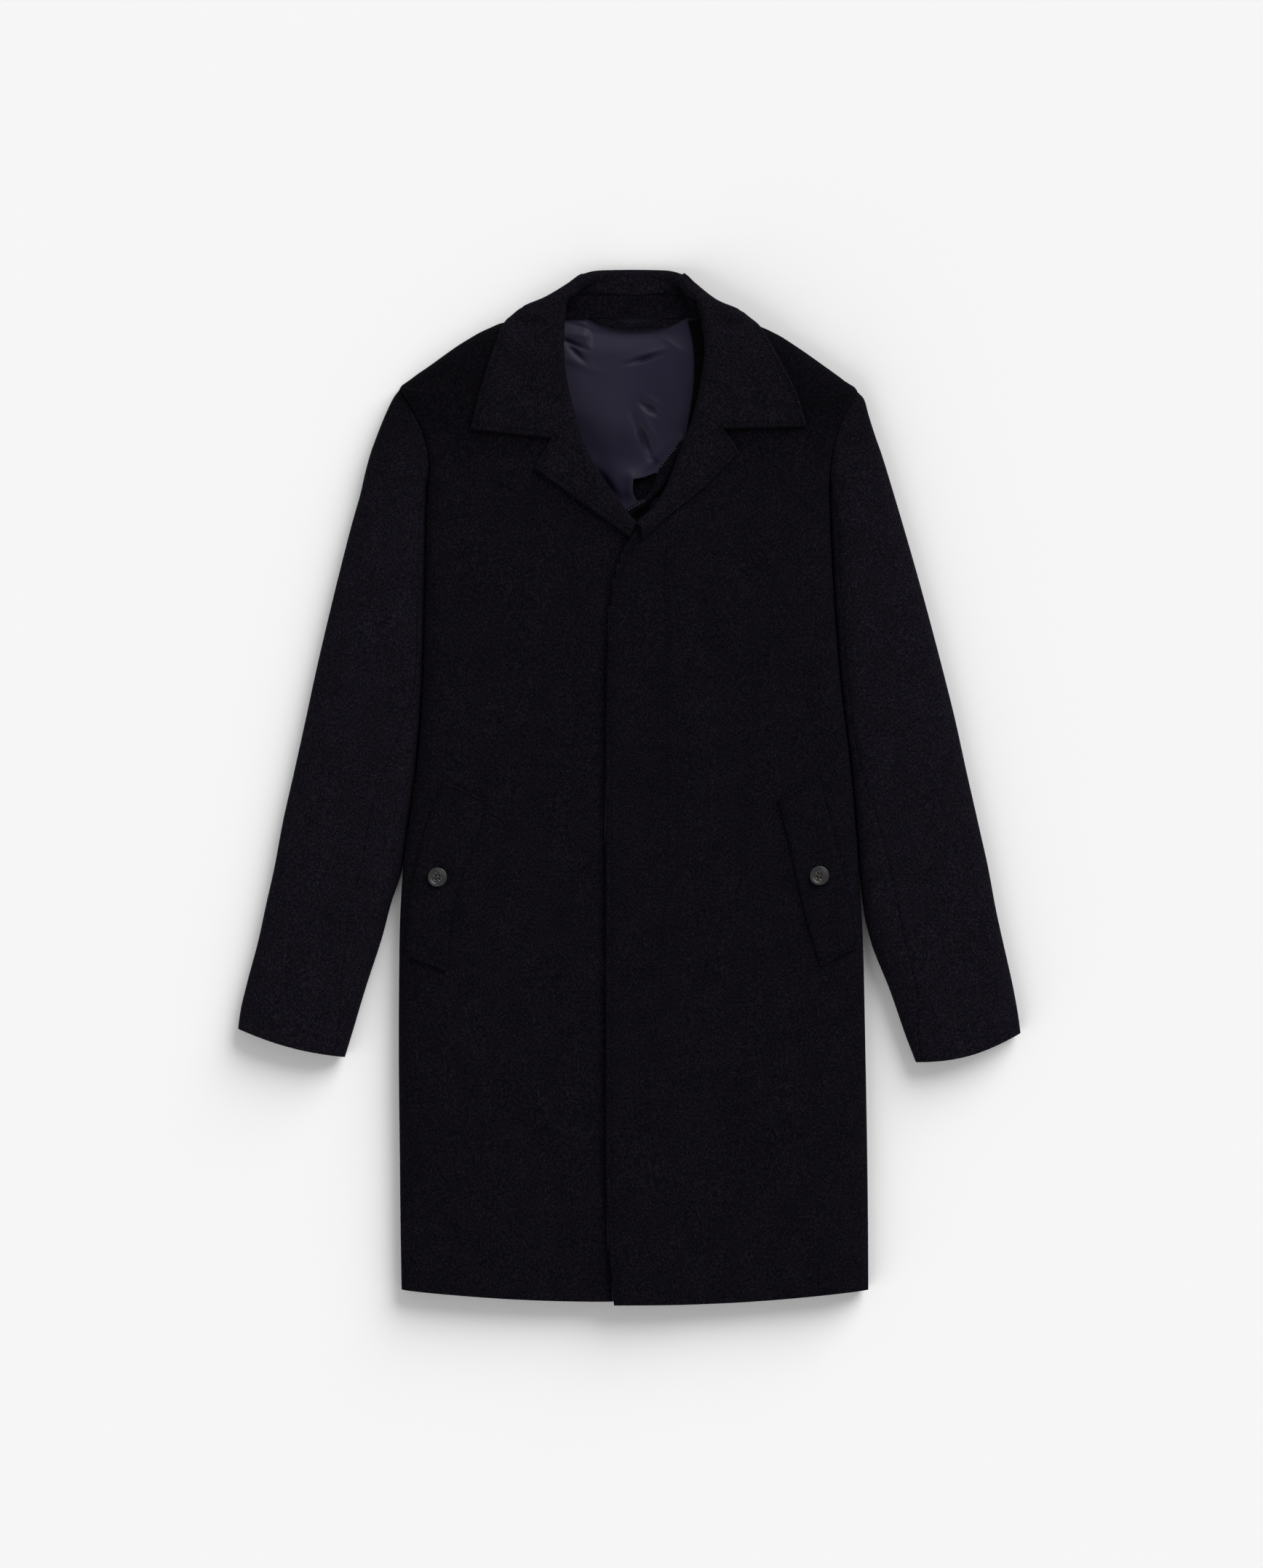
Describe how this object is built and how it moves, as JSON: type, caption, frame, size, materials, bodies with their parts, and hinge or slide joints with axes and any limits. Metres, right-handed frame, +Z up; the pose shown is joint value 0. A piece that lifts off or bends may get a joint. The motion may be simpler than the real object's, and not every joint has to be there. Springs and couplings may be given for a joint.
{
  "type": "wool overcoat",
  "caption": "Knee-length single-breasted overcoat laid flat: notched lapels, concealed front fastening, slanted buttoned pocket welts and a lined neck with a hanger loop.",
  "frame": {"origin": "on the surface that the coat lies on, under the middle of its outline", "axes": "+Y from the hem to the collar along the coat; +Z up out of the fronts, away from the surface; +X to the wearer's left, which is the right of the picture"},
  "size_m": [0.7963, 1.053, 0.0447],
  "materials": {
    "wool": "soft brushed navy wool, matt with a short nap",
    "satin": "navy satin lining with a low sheen",
    "horn": "dark horn-look resin, softly polished"
  },
  "bodies": {
    "root": {"back": "wool", "front_right": "wool", "front_left": "wool", "lapel_right": "wool", "lapel_left": "wool", "collar_fall": "wool", "collar_stand": "wool", "top_sleeve_right": "wool", "top_sleeve_left": "wool", "under_sleeve_right": "wool", "under_sleeve_left": "wool", "pocket_welt_right": "wool", "pocket_welt_left": "wool", "button_right": "horn", "button_left": "horn", "hanger_loop": "wool", "back_lining": "satin"}
  },
  "joints": []
}
